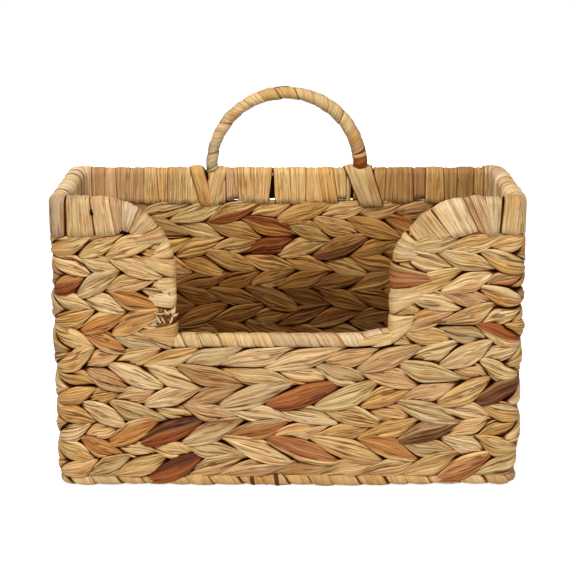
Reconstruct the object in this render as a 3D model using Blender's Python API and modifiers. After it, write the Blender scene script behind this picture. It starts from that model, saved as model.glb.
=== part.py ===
"""Wall basket: leaf strands twined round a wire frame, with a wrapped rim, a dipped
front and a stiff hanging loop on the back rim.

Metres, +Z up, front towards -Y. The origin is the middle of the footprint, on the
surface that the basket stands on. Wall pieces are placed by their distance outwards
from the line of the upright wires, which runs through the middle of every wall.
"""

import bmesh
import bpy
from math import asin, cos, pi, sin, sqrt, tan
from mathutils import Vector

# Body
width = 0.380
depth = 0.140
inner_corner_radius = 0.001
rows_below_sill = 7
rows_above_sill = 6
row_height = 0.01585
bottom_roll_height = 0.009
rim_band_height = 0.030
sill_roll_height = 0.012

# Front cut-out, each side measured from the middle plane, and how much of the front
# beside it each shoulder's rounding takes
left_reach = 0.0917
right_reach = 0.0833
left_shoulder_share = 0.61
right_shoulder_share = 0.618

# Wires
rim_wire_diameter = 0.0036
stake_diameter = 0.003
band_wire_diameter = 0.0024
loop_wire_diameter = 0.004
cross_wire_count = 12
long_wire_count = 4
stake_margin_share = 0.2
base_bend_radius = 0.005
sill_bend_radius = 0.006
wire_sides_setting = 1
corner_steps = 4
shoulder_steps = 6
base_bend_steps = 3
hole_sides = 12

# Twined strands
strand_thickness = 0.0044
strand_face_share = 0.5
strand_edge_share = 0.6
edge_turn_steps = 6

# Leaf wraps
flange_thickness = 0.0022
roll_rounding = 0.0025
rim_rounding = 0.004
corner_wrap_lead = 0.004
wrap_gap_centre = -0.0125
wrap_gap_width = 0.005
binding_width = 0.026
binding_thickness = 0.0026
binding_strip_width = 0.010
binding_strip_relief = 0.0012
binding_strip_angle_share = 0.19

# Woven base
base_rows = 7
base_lower_lift = 0.0006
base_ridge = 0.0008
base_ridge_share = 0.25
base_upper_thickness = 0.0034

# Hanging loop
loop_span = 0.1288
loop_shift = -0.0017
loop_lift = 0.001
loop_steps = 24
loop_padding_thickness = 0.0017
loop_strip_width = 0.0088
loop_strip_gap = 0.0006
loop_strip_thickness = 0.0013
loop_points_per_turn = 9

# Room left between pieces, and how far a cutter runs past what it cuts
fit_gap = 0.0003
overrun = 0.003

# Wall section
wire_radius = rim_wire_diameter / 2
stake_radius = stake_diameter / 2
band_radius = band_wire_diameter / 2
slot_half = wire_radius + fit_gap
half_wall = slot_half + strand_thickness
line_x = width / 2 - half_wall
line_y = depth / 2 - half_wall
line_radius = inner_corner_radius + half_wall
straight_x = line_x - line_radius
straight_y = line_y - line_radius
wrap_end_x = straight_x - corner_wrap_lead

# Levels
weave_bottom = bottom_roll_height
weave_top = weave_bottom + (rows_below_sill + rows_above_sill) * row_height
height = weave_top + rim_band_height
sill_bottom = weave_bottom + rows_below_sill * row_height
sill_top = sill_bottom + sill_roll_height
rim_wire_level = height - half_wall
sill_wire_level = sill_top - half_wall

# Base wires: the base ring lies in the outer corner of the bent cross wires
ring_diagonal = (base_bend_radius + stake_radius + fit_gap + wire_radius) / sqrt(2)
base_ring_offset = ring_diagonal - base_bend_radius
base_ring_level = flange_thickness + fit_gap + wire_radius
cross_wire_level = base_ring_level + base_ring_offset
long_wire_level = cross_wire_level + stake_diameter + fit_gap
inner_weave_bottom = long_wire_level + base_bend_radius

# The second rim wire runs inside the uprights, and the loop's legs inside the rim wire
band_wire_offset = -(stake_radius + fit_gap + band_radius)
band_slot_half = band_radius - band_wire_offset + fit_gap
band_wire_level = weave_top + fit_gap + band_radius
loop_radius = loop_span / 2
loop_wire_radius = loop_wire_diameter / 2
loop_offset = -(wire_radius + fit_gap + loop_wire_radius)
loop_y = line_y + loop_offset
loop_foot = height + fit_gap
loop_centre_level = height + loop_lift
left_leg = loop_shift - loop_radius
right_leg = loop_shift + loop_radius

# Turns that stand a flat outline upright, seen from the front or from the right
facing_front = (pi / 2, 0, 0)
facing_right = (pi / 2, 0, pi / 2)

# Colours and finishes
straw = (0.58, 0.38, 0.17)
pale_straw = (0.68, 0.49, 0.26)
golden_straw = (0.62, 0.40, 0.15)
shaded_straw = (0.42, 0.26, 0.11)
bright_wire = (0.62, 0.62, 0.60)
leaf_roughness = 0.75
wire_roughness = 0.35


def clear_scene():
    for item in list(bpy.data.objects):
        bpy.data.objects.remove(item)


def new_collection(name):
    collection = bpy.data.collections.new(name)
    bpy.context.scene.collection.children.link(collection)
    return collection


def finish(item, colour, roughness=leaf_roughness, metallic=0.0):
    """Gives a piece its own material and smooth shading."""
    surface = bpy.data.materials.new(item.name)
    surface.use_nodes = True
    shader = surface.node_tree.nodes["Principled BSDF"]
    shader.inputs["Base Color"].default_value = (*colour, 1)
    shader.inputs["Roughness"].default_value = roughness
    shader.inputs["Metallic"].default_value = metallic
    surface.diffuse_color = (*colour, 1)
    item.data.materials.clear()
    item.data.materials.append(surface)
    if item.type == "MESH":
        item.data.shade_smooth()
        item.data.set_sharp_from_angle(angle=pi / 5)
    return item


def finish_wire(item):
    return finish(item, bright_wire, wire_roughness, 1.0)


def add_object(name, data):
    item = bpy.data.objects.new(name, data)
    basket.objects.link(item)
    return item


def make_guide(item):
    """Moves a piece out of the basket, to cut, join or shape others and not be seen."""
    for collection in item.users_collection:
        collection.objects.unlink(item)
    guides.objects.link(item)
    item.hide_render = True
    item.display_type = "WIRE"
    return item


def poly_curve(name, points, cyclic, dimensions="3D"):
    data = bpy.data.curves.new(name, "CURVE")
    data.dimensions = dimensions
    spline = data.splines.new("POLY")
    spline.points.add(len(points) - 1)
    for target, point in zip(spline.points, points):
        target.co = (*Vector(point).to_3d(), 1)
    spline.use_cyclic_u = cyclic
    return data


def wire(name, points, diameter, cyclic=False, sides_setting=wire_sides_setting):
    """A round wire along its points."""
    data = poly_curve(name, points, cyclic)
    data.bevel_depth = diameter / 2
    data.bevel_resolution = sides_setting
    data.use_fill_caps = True
    return add_object(name, data)


def clockwise(section):
    """The section's points in the order that makes a swept shape's faces point out."""
    area = sum(a[0] * b[1] - b[0] * a[1] for a, b in zip(section, section[1:] + section[:1]))
    return section if area < 0 else section[::-1]


def sweep(name, path, section, cyclic=False):
    """A level path carrying a section: its x is to the right of travel, its y is up."""
    profile = poly_curve(name + "_section", clockwise(section), True, "2D")
    profile.fill_mode = "NONE"
    data = poly_curve(name, path, cyclic)
    data.twist_mode = "Z_UP"
    data.bevel_mode = "OBJECT"
    data.bevel_object = make_guide(add_object(name + "_section", profile))
    data.use_fill_caps = not cyclic
    return add_object(name, data)


def as_mesh(item):
    """Replaces a curve by its welded mesh, so that it can be cut or can cut."""
    graph = bpy.context.evaluated_depsgraph_get()
    data = bpy.data.meshes.new_from_object(item.evaluated_get(graph))
    shape = bmesh.new()
    shape.from_mesh(data)
    bmesh.ops.remove_doubles(shape, verts=shape.verts, dist=fit_gap / 10)
    shape.to_mesh(data)
    shape.free()
    name = item.name
    place = item.matrix_world.copy()
    bpy.data.objects.remove(item)
    mesh_item = add_object(name, data)
    mesh_item.matrix_world = place
    return mesh_item


def plate(name, outline, half_thickness, rotation, location):
    """A flat outline given its thickness, turned and placed, as a mesh."""
    data = poly_curve(name, outline, True, "2D")
    data.fill_mode = "BOTH"
    data.extrude = half_thickness
    item = add_object(name, data)
    item.rotation_euler = rotation
    item.location = location
    bpy.context.view_layer.update()
    return as_mesh(item)


def combine(item, tool, operation):
    """Cuts the tool from a piece, or joins it on."""
    step = item.modifiers.new(tool.name, "BOOLEAN")
    step.operation = operation
    step.object = make_guide(tool)
    return item


def loft(name, sections, closed):
    """Skins a run of like-numbered sections, closed into a ring or capped at both ends."""
    shape = bmesh.new()
    rings = [[shape.verts.new(point) for point in section] for section in sections]
    pairs = list(zip(rings, rings[1:]))
    if closed:
        pairs.append((rings[-1], rings[0]))
    else:
        shape.faces.new(rings[0])
        shape.faces.new(rings[-1])
    for ring, following in pairs:
        for a, b in zip(range(len(ring)), [*range(1, len(ring)), 0]):
            shape.faces.new((ring[a], ring[b], following[b], following[a]))
    bmesh.ops.recalc_face_normals(shape, faces=shape.faces)
    data = bpy.data.meshes.new(name)
    shape.to_mesh(data)
    shape.free()
    return add_object(name, data)


def arc(steps):
    """Shares of a quarter turn, as angles from 0 to 90 degrees."""
    return [step / steps * pi / 2 for step in range(steps + 1)]


def wall_line(first_corner, last_corner, steps=corner_steps):
    """Places and outward directions along the wall's corners, counted anticlockwise
    from the front right one."""
    centres = [(straight_x, -straight_y), (straight_x, straight_y),
               (-straight_x, straight_y), (-straight_x, -straight_y)]
    line = []
    for corner in range(first_corner, last_corner + 1):
        for angle in arc(steps):
            turn = angle + (corner - 1) * pi / 2
            outward = Vector((cos(turn), sin(turn)))
            line.append((Vector(centres[corner]) + line_radius * outward, outward))
    return line


def wall_path(first_corner, last_corner, offset, level, steps=corner_steps):
    return [(place + offset * outward).to_3d() + Vector((0, 0, level))
            for place, outward in wall_line(first_corner, last_corner, steps)]


# Each side of the cut-out: its sign along X, reach and shoulder radius
cutout_sides = {"left": (-1, left_reach, left_shoulder_share * (width / 2 - left_reach)),
                "right": (1, right_reach, right_shoulder_share * (width / 2 - right_reach))}


def edge_distance(side, level, inset=0):
    """How far the cut-out's edge, or a line inset in the wall, is from the middle plane."""
    sign, reach, radius = cutout_sides[side]
    rise = max(0, level - (height - radius))
    return reach + radius - sqrt((radius - inset) ** 2 - rise ** 2)


def shoulder_wire_points(side):
    """The rim wire down the shoulder and round into the sill."""
    sign, reach, radius = cutout_sides[side]
    bend = radius - half_wall
    points = []
    for angle in arc(shoulder_steps):
        points.append((sign * (reach + radius - bend * sin(angle)), -line_y,
                       height - radius + bend * cos(angle)))
    sill_centre = reach + half_wall - sill_bend_radius
    for angle in arc(base_bend_steps):
        points.append((sign * (sill_centre + sill_bend_radius * cos(angle)), -line_y,
                       sill_wire_level + sill_bend_radius * (1 - sin(angle))))
    return points


def rim_wire():
    points = wall_path(0, 3, 0, rim_wire_level)
    points += shoulder_wire_points("left")
    points += shoulder_wire_points("right")[::-1]
    return finish_wire(wire("rim_wire", points, rim_wire_diameter, cyclic=True))


def band_wire():
    """The second rim wire, from shoulder to shoulder round the back."""
    ring = wall_path(0, 3, band_wire_offset, band_wire_level)
    ends = {}
    for side, (sign, reach, radius) in cutout_sides.items():
        clear = edge_distance(side, band_wire_level, half_wall) + rim_wire_diameter
        ends[side] = (sign * clear, -line_y - band_wire_offset, band_wire_level)
    points = [ends["right"], *ring, ends["left"]]
    return finish_wire(wire("band_wire", points, band_wire_diameter))


def base_wire():
    points = wall_path(0, 3, base_ring_offset, base_ring_level)
    return finish_wire(wire("base_wire", points, rim_wire_diameter, cyclic=True))


def front_stake_top(x):
    """Where an upright in the front wall ends: under the rim wire above it or, near the
    edge of the cut-out, under the row that turns back there."""
    side = "left" if x < 0 else "right"
    sign, reach, radius = cutout_sides[side]
    if abs(x) < reach - stake_radius - fit_gap:
        return sill_wire_level - wire_radius - fit_gap
    if abs(x) < reach + half_wall + wire_radius + stake_radius + fit_gap:
        return sill_bottom - fit_gap
    lean = asin(max(0, min(1, (reach + radius - abs(x)) / (radius - half_wall))))
    wire_level = height - radius + (radius - half_wall) * cos(lean)
    return wire_level - (wire_radius + fit_gap) / cos(lean) - stake_radius * tan(lean)


def hoop_points(reach, level, first_top, last_top):
    """An upright, a base run and an upright, in one bent wire: distance across, height."""
    points = [(-reach, first_top)]
    for angle in arc(base_bend_steps):
        points.append((-reach + base_bend_radius * (1 - cos(angle)),
                       level + base_bend_radius * (1 - sin(angle))))
    for angle in reversed(arc(base_bend_steps)):
        points.append((reach - base_bend_radius * (1 - cos(angle)),
                       level + base_bend_radius * (1 - sin(angle))))
    points.append((reach, last_top))
    return points


def upright_places(reach, count):
    """Evenly spaced across a straight wall, with a share of the spacing left at each end."""
    spacing = 2 * reach / (count - 1 + 2 * stake_margin_share)
    return [(index - (count - 1) / 2) * spacing for index in range(count)]


back_stake_top = rim_wire_level - wire_radius - fit_gap


def cross_wires():
    """Wires up the front, under the base and up the back."""
    for number, x in enumerate(upright_places(straight_x, cross_wire_count), 1):
        outline = hoop_points(line_y, cross_wire_level, front_stake_top(x), back_stake_top)
        points = [(x, across, level) for across, level in outline]
        finish_wire(wire(f"cross_wire_{number:02d}", points, stake_diameter))


def long_wires():
    """Wires up one end, along the base over the cross wires and up the other end."""
    for number, y in enumerate(upright_places(straight_y, long_wire_count), 1):
        outline = hoop_points(line_x, long_wire_level, back_stake_top, back_stake_top)
        points = [(across, y, level) for across, level in outline]
        finish_wire(wire(f"long_wire_{number}", points, stake_diameter))


def strand_section(bottom, top, thickness):
    """A flattened strand standing on edge, bulged on the side away from the wires."""
    chamfer = (top - bottom) * (1 - strand_face_share) / 2
    edge = thickness * strand_edge_share
    return [(0, bottom), (edge, bottom), (thickness, bottom + chamfer),
            (thickness, top - chamfer), (edge, top), (0, top)]


def full_row(number):
    """A row below the sill: one strand course outside the uprights and one inside."""
    bottom = weave_bottom + (number - 1) * row_height
    top = bottom + row_height - fit_gap
    for course, sign, start in (("outer", 1, bottom), ("inner", -1, max(bottom, inner_weave_bottom))):
        section = strand_section(start, top, sign * strand_thickness)
        path = wall_path(0, 3, sign * slot_half, 0)
        row = sweep(f"weave_row_{number:02d}_{course}", path, section, cyclic=True)
        finish(row, straw if sign > 0 else shaded_straw)


def broken_row(number):
    """A row beside the cut-out: a strand that turns back round the wire at each edge."""
    bottom = weave_bottom + (number - 1) * row_height
    profile = strand_section(bottom, bottom + row_height - fit_gap, strand_thickness)
    profile.append((0, bottom + row_height / 2))
    sections = []

    def add_turn(side, angles):
        sign = cutout_sides[side][0]
        for angle in angles:
            toward = Vector((sign * -sin(angle), -cos(angle), 0))
            sections.append([Vector((sign * edge_distance(side, level) + sign * half_wall, -line_y, level))
                             + toward * (slot_half + across) for across, level in profile])

    def add_run(line, sign):
        for place, outward in line:
            sections.append([(place + sign * (slot_half + across) * outward).to_3d()
                             + Vector((0, 0, level)) for across, level in profile])

    half_turn = [step / edge_turn_steps * pi for step in range(edge_turn_steps + 1)]
    line = wall_line(0, 3)
    add_run(line, 1)
    add_turn("left", half_turn)
    add_run(line[::-1], -1)
    add_turn("right", half_turn[::-1])
    return loft(f"weave_row_{number:02d}", sections, closed=True)


def broken_rows():
    for number in range(rows_below_sill + 1, rows_below_sill + rows_above_sill + 1):
        row = broken_row(number)
        if number == rows_below_sill + 1:
            for side in cutout_sides:
                combine(row, sill_wire_passage(side), "DIFFERENCE")
        finish(row, straw)


def sill_wire_passage(side):
    """Room for the rim wire where it runs from the sill into the wall."""
    sign = cutout_sides[side][0]
    inner = edge_distance(side, sill_wire_level) - overrun
    outer = inner + overrun + half_wall
    bottom = sill_wire_level - wire_radius - fit_gap
    top = sill_wire_level + sill_bend_radius
    outline = [(sign * inner, bottom), (sign * outer, bottom), (sign * outer, top), (sign * inner, top)]
    half_width = wire_radius + fit_gap / 2
    return plate(f"{side}_passage", outline, half_width, facing_front, (0, -line_y, 0))


def rounded_corner(x, y, toward_x, radius):
    """Three points of a rounded top corner; toward_x points from the corner to the middle."""
    middle_x = x + toward_x * radius
    middle_y = y - radius
    diagonal = radius / sqrt(2)
    return [(x, y - radius), (middle_x - toward_x * diagonal, middle_y + diagonal), (middle_x, y)]


def arch_section(inside, outside, slot_inside, slot_outside, bottom, slot_top, top, rounding):
    """Leaf folded over a wire: a slot that is open below, under a rounded top."""
    return [(inside, bottom), *rounded_corner(inside, top, 1, rounding),
            *rounded_corner(outside, top, -1, rounding)[::-1], (outside, bottom),
            (slot_outside, bottom), (slot_outside, slot_top), (slot_inside, slot_top), (slot_inside, bottom)]


def rim_section():
    return arch_section(-half_wall, half_wall, -band_slot_half, band_slot_half, weave_top + fit_gap,
                        height - strand_thickness, height, rim_rounding)


def side_rim_wraps():
    """The wraps on the two ends, round both corners of each and a little past them."""
    for side, corners in (("right", (0, 1)), ("left", (2, 3))):
        path = wall_path(*corners, 0, 0, steps=shoulder_steps)
        sign = cutout_sides[side][0]
        lead_ends = [(sign * wrap_end_x, -sign * line_y, 0), (sign * wrap_end_x, sign * line_y, 0)]
        path = [lead_ends[0], *path, lead_ends[1]]
        finish(sweep(f"rim_wrap_{side}", path, rim_section()), pale_straw)


def back_run(name, start, end, section, colour):
    """A wrap on the back rim between two places along X, with its share of the gaps."""
    path = [(end - fit_gap / 2, line_y, 0), (start + fit_gap / 2, line_y, 0)]
    return finish(sweep(name, path, section), colour)


def back_rim_wraps():
    gap_half = wrap_gap_width / 2
    binding_half = binding_width / 2
    runs = {"rim_wrap_back_left": (-wrap_end_x, left_leg - binding_half, shaded_straw),
            "rim_wrap_back_mid_left": (left_leg + binding_half, wrap_gap_centre - gap_half, golden_straw),
            "rim_wrap_back_mid_right": (wrap_gap_centre + gap_half, right_leg - binding_half, golden_straw),
            "rim_wrap_back_right": (right_leg + binding_half, wrap_end_x, straw)}
    for name, (start, end, colour) in runs.items():
        back_run(name, start, end, rim_section(), colour)


def crossed_strip(name, x, slant):
    """One of the two strips that cross over a foot of the loop, on the inner face."""
    length = (rim_band_height - 2 * rim_rounding) / cos(abs(slant)) - binding_strip_width * tan(abs(slant))
    half_length = length / 2
    half_width = binding_strip_width / 2
    outline = [(-half_width, -half_length), (half_width, -half_length),
               (half_width, half_length), (-half_width, half_length)]
    face = line_y + loop_offset - loop_wire_radius - fit_gap - binding_thickness
    middle_level = weave_top + rim_band_height / 2
    return plate(name, outline, binding_strip_relief, (facing_front[0], slant, 0), (x, face, middle_level))


def foot_bindings():
    """Crossed strips that bind each foot of the loop to the back rim."""
    slot_inside = loop_offset - loop_wire_radius - fit_gap
    section = arch_section(slot_inside - binding_thickness, half_wall, slot_inside, band_slot_half,
                           weave_top + fit_gap, height - strand_thickness, height, rim_rounding)
    for side, x in (("left", left_leg), ("right", right_leg)):
        half = binding_width / 2
        binding = as_mesh(back_run(f"loop_binding_{side}", x - half, x + half, section, golden_straw))
        for number, turn in enumerate((1, -1), 1):
            strip = crossed_strip(f"{side}_strip_{number}", x, turn * binding_strip_angle_share * pi)
            combine(binding, strip, "UNION")
        bpy.ops.mesh.primitive_cylinder_add(vertices=hole_sides, radius=loop_wire_radius + fit_gap,
                                            depth=2 * strand_thickness + overrun, location=(x, loop_y, height))
        bpy.context.active_object.name = f"{side}_leg_hole"
        combine(binding, bpy.context.active_object, "DIFFERENCE")
        finish(binding, golden_straw)


def shoulder_outline(side, inset, bottom, end):
    """A shoulder in the front plane: up the rounded edge and along the top to the end."""
    sign, reach, radius = cutout_sides[side]
    bend = radius - inset
    start = asin(min(1, (bottom - (height - radius)) / bend))
    points = [(sign * end, bottom)]
    for share in range(shoulder_steps + 1):
        angle = start + share / shoulder_steps * (pi / 2 - start)
        points.append((sign * (reach + radius - bend * cos(angle)), height - radius + bend * sin(angle)))
    points.append((sign * end, height - inset))
    return points


def shoulder_wraps():
    """The wraps that fan round the two front shoulders."""
    bottom = weave_top + fit_gap
    for side in cutout_sides:
        outline = shoulder_outline(side, 0, bottom, wrap_end_x - fit_gap)
        wrap = plate(f"rim_wrap_{side}_shoulder", outline, half_wall, facing_front, (0, -line_y, 0))
        rounding = wrap.modifiers.new("rounding", "BEVEL")
        rounding.width = rim_rounding - fit_gap
        rounding.segments = 2
        rounding.limit_method = "ANGLE"
        rounding.angle_limit = pi / 6
        pocket = shoulder_outline(side, strand_thickness, bottom - overrun, wrap_end_x + overrun)
        pocket_plate = plate(f"{side}_pocket", pocket, band_slot_half, facing_front, (0, -line_y, 0))
        finish(combine(wrap, pocket_plate, "DIFFERENCE"), pale_straw)


def sill_wrap():
    section = arch_section(-half_wall, half_wall, -slot_half, slot_half, sill_bottom + fit_gap,
                           sill_top - strand_thickness, sill_top, rim_rounding)
    path = [(-left_reach + fit_gap, -line_y, 0), (right_reach - fit_gap, -line_y, 0)]
    return finish(sweep("sill_wrap", path, section), golden_straw)


def bottom_edge_wrap():
    """The roll round the base ring: a leg outside it and a flat flange under it."""
    leg = base_ring_offset + wire_radius + fit_gap
    top = bottom_roll_height - fit_gap
    diagonal = roll_rounding * (1 - 1 / sqrt(2))
    section = [(-half_wall, 0), (half_wall - roll_rounding, 0), (half_wall - diagonal, diagonal),
               (half_wall, roll_rounding), (half_wall, top - roll_rounding), (half_wall - diagonal, top - diagonal),
               (half_wall - roll_rounding, top), (leg, top), (leg, flange_thickness),
               (-half_wall, flange_thickness)]
    return finish(sweep("bottom_edge_wrap", wall_path(0, 3, 0, 0), section, cyclic=True), straw)


def ribbed_panel(name, flat_level, ridge_level):
    """A woven base panel, its rows shown as ridges that run along the basket."""
    half_y = line_y - half_wall - fit_gap
    half_x = line_x - half_wall - inner_corner_radius - fit_gap
    pitch = 2 * half_y / base_rows
    away = base_ridge if ridge_level > flat_level else -base_ridge
    outline = [(-half_y, flat_level), (half_y, flat_level)]
    for row in reversed(range(base_rows)):
        start = -half_y + row * pitch
        outline += [(start + pitch, ridge_level - away),
                    (start + pitch * (1 - base_ridge_share), ridge_level),
                    (start + pitch * base_ridge_share, ridge_level)]
    outline.append((-half_y, ridge_level - away))
    return plate(name, outline, half_x, facing_right, (0, 0, 0))


def base_weave():
    lower_top = cross_wire_level - stake_radius - fit_gap
    finish(ribbed_panel("base_weave_lower", lower_top, base_lower_lift), shaded_straw)
    upper_bottom = long_wire_level + stake_radius + fit_gap
    upper_top = upper_bottom + base_upper_thickness
    finish(ribbed_panel("base_weave_upper", upper_bottom, upper_top), shaded_straw)


def loop_line(length_along):
    """A place on the loop's arch and its inward direction, by distance from the left foot."""
    angle = length_along / loop_radius
    inward = Vector((cos(angle), 0, -sin(angle)))
    centre = Vector((loop_shift, loop_y, loop_centre_level))
    return centre - loop_radius * inward, inward


def loop_path(foot_level):
    arch = [loop_line(step / loop_steps * pi * loop_radius)[0] for step in range(loop_steps + 1)]
    return [(left_leg, loop_y, foot_level), *arch, (right_leg, loop_y, foot_level)]


def hanging_loop():
    foot = band_wire_level + band_radius + fit_gap
    finish_wire(wire("loop_wire", loop_path(foot), loop_wire_diameter))
    bore_diameter = loop_wire_diameter + 2 * fit_gap
    bore = wire("loop_bore", loop_path(loop_foot - overrun), bore_diameter)
    padding_diameter = bore_diameter + 2 * loop_padding_thickness
    padding = as_mesh(wire("loop_padding", loop_path(loop_foot), padding_diameter, sides_setting=2))
    finish(combine(padding, as_mesh(bore), "DIFFERENCE"), straw)
    loop_strip(padding_diameter / 2 + fit_gap)


def loop_strip(inner_radius):
    """One flat leaf strip wound along the loop from foot to foot, edge beside edge. Its
    corners stand out so that its flats clear the padding."""
    inner_radius /= cos(pi / loop_points_per_turn)
    pitch = loop_strip_width + loop_strip_gap
    length = pi * loop_radius
    turns = int((length - loop_strip_width) / pitch)
    start = (length - turns * pitch) / 2
    sections = []
    for step in range(turns * loop_points_per_turn + 1):
        turn = step / loop_points_per_turn
        sections.append([])
        for edge, radius in ((-1, inner_radius), (1, inner_radius), (1, inner_radius + loop_strip_thickness),
                             (-1, inner_radius + loop_strip_thickness)):
            place, inward = loop_line(start + turn * pitch + edge * loop_strip_width / 2)
            away = cos(2 * pi * turn) * inward + Vector((0, sin(2 * pi * turn), 0))
            sections[-1].append(place + radius * away)
    following = sections[loop_points_per_turn:]
    least = min((a[edge] - b[other]).length for a, b in zip(sections, following)
                for edge, other in ((1, 0), (2, 3)))
    print(f"loop strip: {turns} turns, least gap to itself {least * 1000:.2f} mm")
    finish(loft("loop_strip", sections, closed=False), golden_straw)


clear_scene()
basket = new_collection("wall_basket")
guides = new_collection("guides")

rim_wire()
band_wire()
base_wire()
cross_wires()
long_wires()
bottom_edge_wrap()
base_weave()
for row_number in range(1, rows_below_sill + 1):
    full_row(row_number)
broken_rows()
sill_wrap()
shoulder_wraps()
side_rim_wraps()
back_rim_wraps()
foot_bindings()
hanging_loop()
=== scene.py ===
"""Looks of the wall basket: twined leaf rows, strips over its rims and the wound hanging loop.

Metres, +Z up, front towards -Y, the same frame as the solids. Wall pieces are built on the line
of the upright wires, in the middle of every wall: `along` runs round the basket from the middle of
the front towards +X, `out` is the distance outwards from that line.
"""

import math

import bpy
import numpy as np
from numpy.random import default_rng
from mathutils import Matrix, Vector


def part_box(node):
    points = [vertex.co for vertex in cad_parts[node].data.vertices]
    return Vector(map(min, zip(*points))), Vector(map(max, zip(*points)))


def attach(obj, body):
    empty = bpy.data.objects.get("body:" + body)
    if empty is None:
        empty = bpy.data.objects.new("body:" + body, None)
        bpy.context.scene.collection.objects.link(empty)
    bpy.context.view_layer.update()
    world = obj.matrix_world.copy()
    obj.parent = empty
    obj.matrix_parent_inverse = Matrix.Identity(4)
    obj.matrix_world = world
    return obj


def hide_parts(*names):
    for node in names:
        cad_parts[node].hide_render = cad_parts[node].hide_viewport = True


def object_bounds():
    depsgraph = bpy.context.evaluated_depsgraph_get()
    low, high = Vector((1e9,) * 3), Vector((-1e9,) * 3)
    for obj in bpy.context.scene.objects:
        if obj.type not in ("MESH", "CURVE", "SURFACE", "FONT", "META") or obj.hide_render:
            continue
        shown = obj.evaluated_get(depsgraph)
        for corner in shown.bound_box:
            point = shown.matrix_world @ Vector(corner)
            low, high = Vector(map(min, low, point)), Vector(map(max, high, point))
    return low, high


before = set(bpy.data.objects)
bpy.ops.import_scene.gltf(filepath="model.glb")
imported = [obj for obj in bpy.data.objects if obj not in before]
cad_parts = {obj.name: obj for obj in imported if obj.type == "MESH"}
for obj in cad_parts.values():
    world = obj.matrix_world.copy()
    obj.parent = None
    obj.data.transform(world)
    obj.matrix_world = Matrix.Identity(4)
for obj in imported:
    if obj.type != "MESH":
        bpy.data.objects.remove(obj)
cad_low, cad_high = [list(corner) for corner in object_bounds()]

# Wall line and levels, taken from the solids
mm = 0.001
half_wall = 6.5 * mm
line_radius = 7.5 * mm
piece_gap = 0.3 * mm
line_x, line_y = cad_high[0] - half_wall, cad_high[1] - half_wall
straight_x, straight_y = line_x - line_radius, line_y - line_radius
corner_length = math.pi / 2 * line_radius
perimeter = 4 * (straight_x + straight_y + corner_length)
row_low, row_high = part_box("weave_row_08")
row_height = row_high.z - row_low.z + piece_gap
full_rows, row_count = 7, 13
weave_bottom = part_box("weave_row_01_outer")[0].z
weave_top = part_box("weave_row_13")[1].z
rim_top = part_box("rim_wrap_back_left")[1].z
sill_low, sill_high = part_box("sill_wrap")
# By side, left -1 and right 1: how far the cut-out reaches, and the radius of the shoulder there
cut_sizes = {-1: (-sill_low.x, 60 * mm), 1: (sill_high.x, 65.9 * mm)}

# Leaf colours, linear
palette = {
    "straw": (0.64, 0.43, 0.195), "cream": (0.70, 0.505, 0.28), "gold": (0.60, 0.36, 0.13),
    "tan": (0.49, 0.30, 0.135), "sage": (0.575, 0.415, 0.205), "grey": (0.57, 0.42, 0.23),
    "rosy": (0.49, 0.295, 0.135), "pink": (0.58, 0.37, 0.19), "orange": (0.52, 0.245, 0.075),
    "rust": (0.29, 0.080, 0.018), "salmon": (0.46, 0.20, 0.080), "brown": (0.20, 0.090, 0.032),
    "maroon": (0.13, 0.035, 0.012), "taupe": (0.38, 0.235, 0.115), "ash": (0.44, 0.30, 0.16),
    "amber": (0.37, 0.120, 0.024),
}
plain_mix = dict(straw=44, cream=24, gold=11, tan=8, sage=4, grey=5, pink=4)
deep_mix = dict(straw=40, cream=24, gold=14, tan=16, pink=5, orange=1)
wrap_mix = dict(straw=46, cream=22, gold=16, tan=6, pink=6, sage=2)


def pick_names(rng, count, mix):
    names, weights = list(mix), np.array(list(mix.values()), float)
    return [names[index] for index in rng.choice(len(names), count, p=weights / weights.sum())]


def pick_tints(rng, count, mix):
    tints = np.array([palette[name] for name in pick_names(rng, count, mix)])
    return tints * rng.uniform(0.88, 1.1, (count, 1)) * rng.uniform(0.97, 1.03, (count, 3))


def tinted(rng, name):
    return np.array(palette[name]) * rng.uniform(0.92, 1.06) * rng.uniform(0.98, 1.02, 3)


def smooth_step(values):
    values = np.clip(values, 0, 1)
    return values * values * (3 - 2 * values)


def near_edge(across, start):
    """From 0 to 1 towards the edges of a strip, from this share of its half width on."""
    return smooth_step((np.abs(across) - start) / (1 - start))


def grain_at(along, across, seed):
    """The place on a leaf, along and across its fibres, and a number of its own."""
    return np.stack(np.broadcast_arrays(along, across, seed), -1)


# Mesh building

def add_object(name, data):
    item = bpy.data.objects.new(name, data)
    bpy.context.scene.collection.objects.link(item)
    return item


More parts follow.
